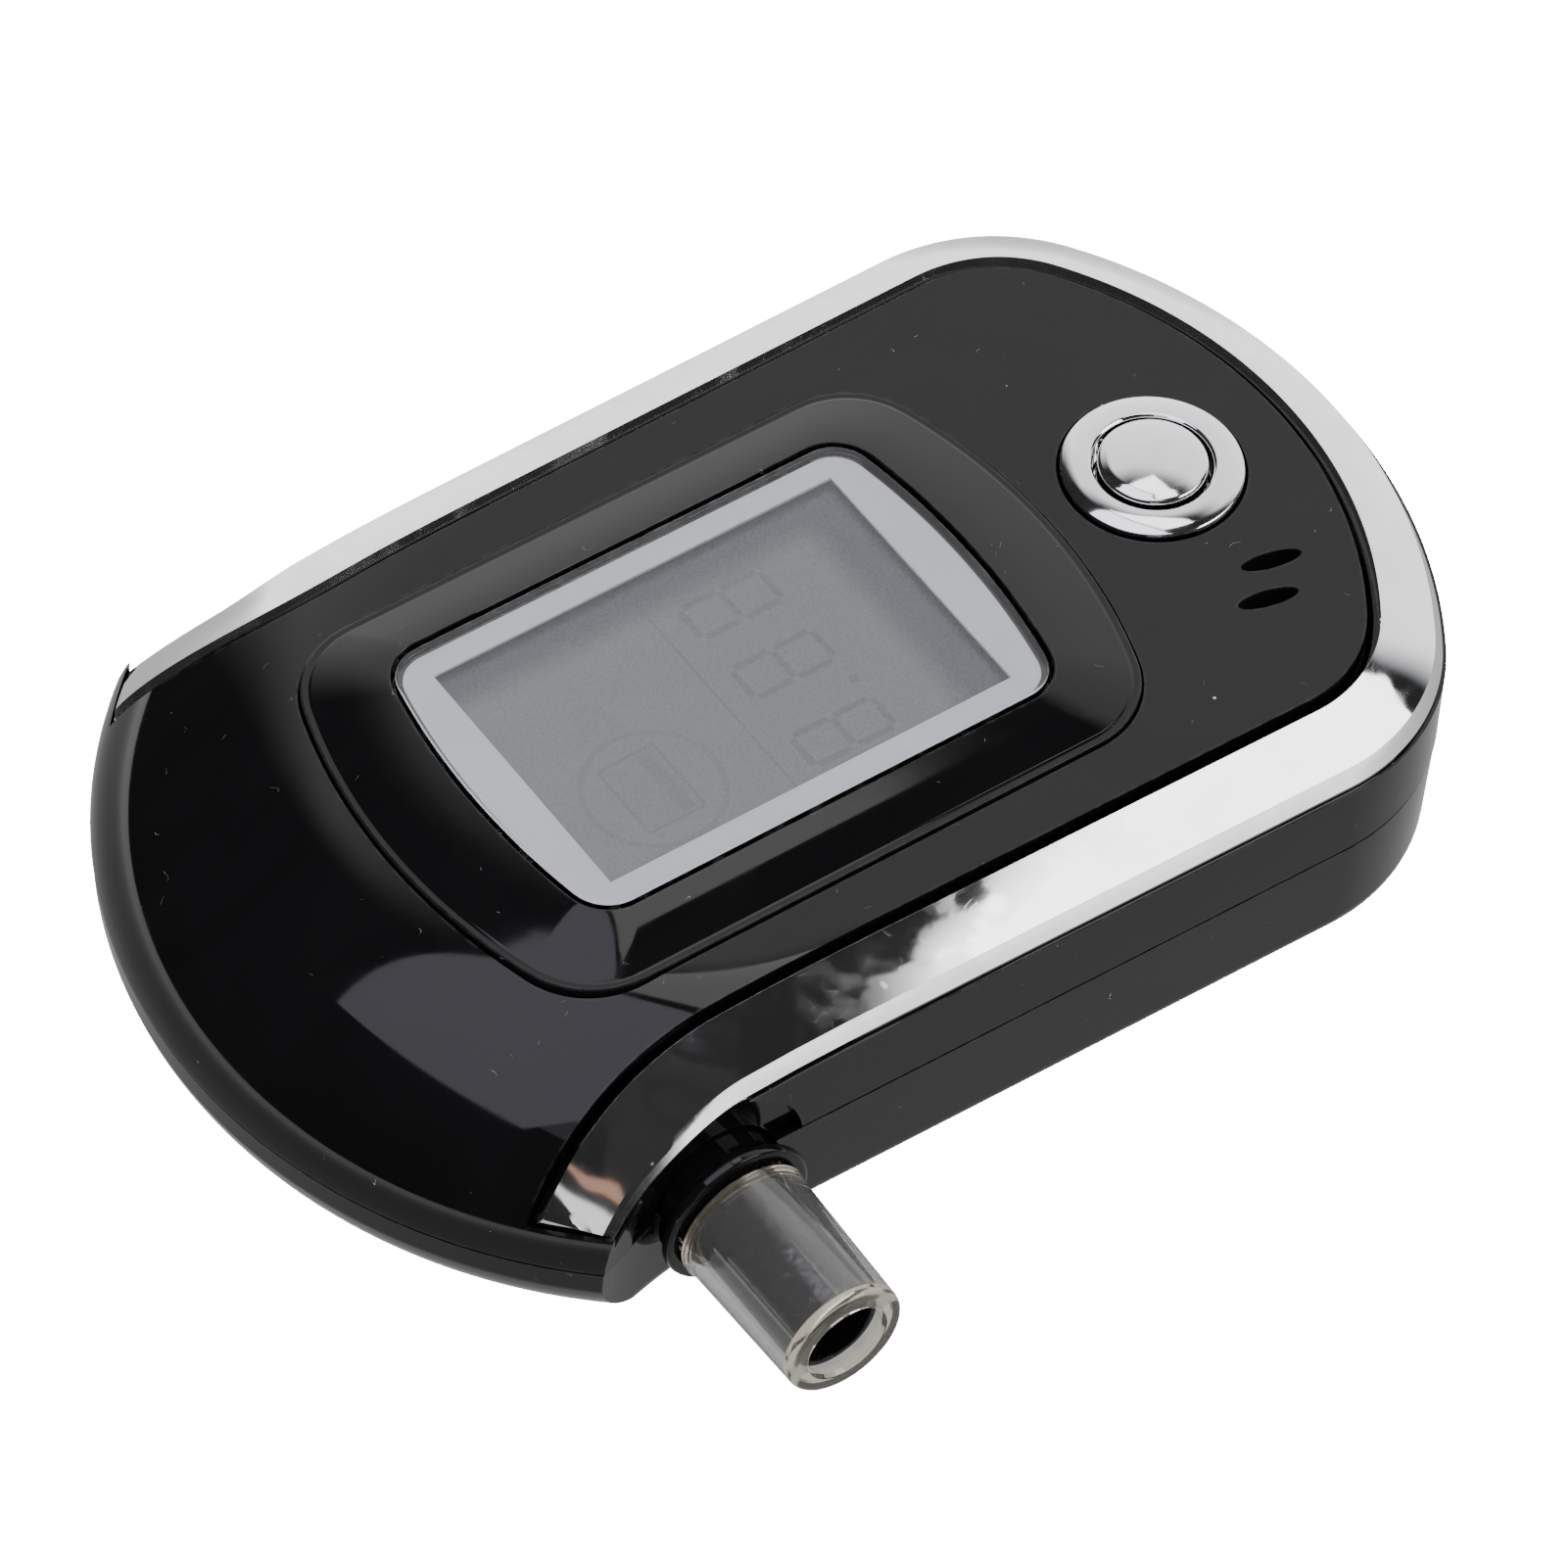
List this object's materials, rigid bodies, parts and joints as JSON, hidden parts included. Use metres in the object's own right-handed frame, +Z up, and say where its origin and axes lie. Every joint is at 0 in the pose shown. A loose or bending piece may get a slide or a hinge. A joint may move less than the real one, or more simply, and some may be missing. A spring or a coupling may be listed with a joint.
{
  "type": "breath alcohol tester",
  "caption": "Palm-sized black breath alcohol tester with a chrome trim band, display window, chrome power button and a clear plug-in mouthpiece on its side.",
  "frame": {"origin": "bottom centre of the box round the case and its mouthpiece, on the surface the tester lies on", "axes": "+X along the length from the domed end to the button end, -Y out through the mouthpiece, +Z up through the display"},
  "size_m": [0.0994, 0.0752, 0.0219],
  "materials": {
    "black_gloss": "polished black ABS",
    "chrome_trim": "chromed plastic, mirror bright",
    "clear_window": "clear moulded acrylic",
    "clear_mouthpiece": "clear smoky moulded plastic",
    "silver_print": "silver-white printed film",
    "display_glass": "grey reflective display",
    "milky_plastic": "diffusing white",
    "circuit_board": "green solder mask",
    "dark_plastic": "matt black moulding",
    "rubber_parts": "soft matt rubber",
    "contact_steel": "nickel-plated steel",
    "cell_sleeve": "plain sleeve with a bare end",
    "red_sleeve": "red insulation"
  },
  "bodies": {
    "case": {"front_shell": "black_gloss", "rear_shell": "black_gloss", "trim_band": "chrome_trim", "display_bezel": "black_gloss", "display_lens": "clear_window", "window_mask": "silver_print", "lcd_panel": "display_glass", "light_guide": "milky_plastic", "backlight_led": "milky_plastic", "lcd_connector": "rubber_parts", "main_board": "circuit_board", "control_chip": "dark_plastic", "crystal": "contact_steel", "supply_capacitor": "dark_plastic", "switch_body": "dark_plastic", "button_ring": "chrome_trim", "sounder": "dark_plastic", "mouthpiece_socket": "black_gloss", "duct_seal": "rubber_parts", "air_duct": "dark_plastic", "sensor_can": "contact_steel", "sensor_base": "dark_plastic", "cell_1": "cell_sleeve", "cell_2": "cell_sleeve", "cell_3": "cell_sleeve", "cell_spring_1": "contact_steel", "cell_spring_2": "contact_steel", "cell_spring_3": "contact_steel", "cell_contact_1": "contact_steel", "cell_contact_2": "contact_steel", "cell_contact_3": "contact_steel", "supply_lead_red": "red_sleeve", "supply_lead_black": "rubber_parts", "case_screw_1": "contact_steel", "case_screw_2": "contact_steel", "case_screw_3": "contact_steel", "case_screw_4": "contact_steel", "board_screw_1": "contact_steel", "board_screw_2": "contact_steel"},
    "button": {"power_button": "chrome_trim"},
    "plunger": {"switch_plunger": "dark_plastic"},
    "mouthpiece": {"mouthpiece": "clear_mouthpiece"},
    "door": {"battery_door": "black_gloss"}
  },
  "joints": [
    {"name": "button_press", "type": "slide", "parent": "case", "child": "button", "axis": [0, 0, -1], "range_m": [0, 0.0005], "stiffness_N_per_m": 400},
    {"name": "switch_press", "type": "slide", "parent": "case", "child": "plunger", "axis": [0, 0, -1], "range_m": [0, 0.0005]},
    {"name": "mouthpiece_pull", "type": "slide", "parent": "case", "child": "mouthpiece", "axis": [0, -1, 0], "range_m": [0, 0.03]},
    {"name": "battery_door_hinge", "type": "hinge", "parent": "case", "child": "door", "pos_m": [-0.01546, 0.00661, 0.0011], "axis": [0, 1, 0], "range_deg": [0, 75]}
  ],
  "couplings": [
    {"joint": "switch_press", "follows": "button_press", "ratio": 1}
  ]
}
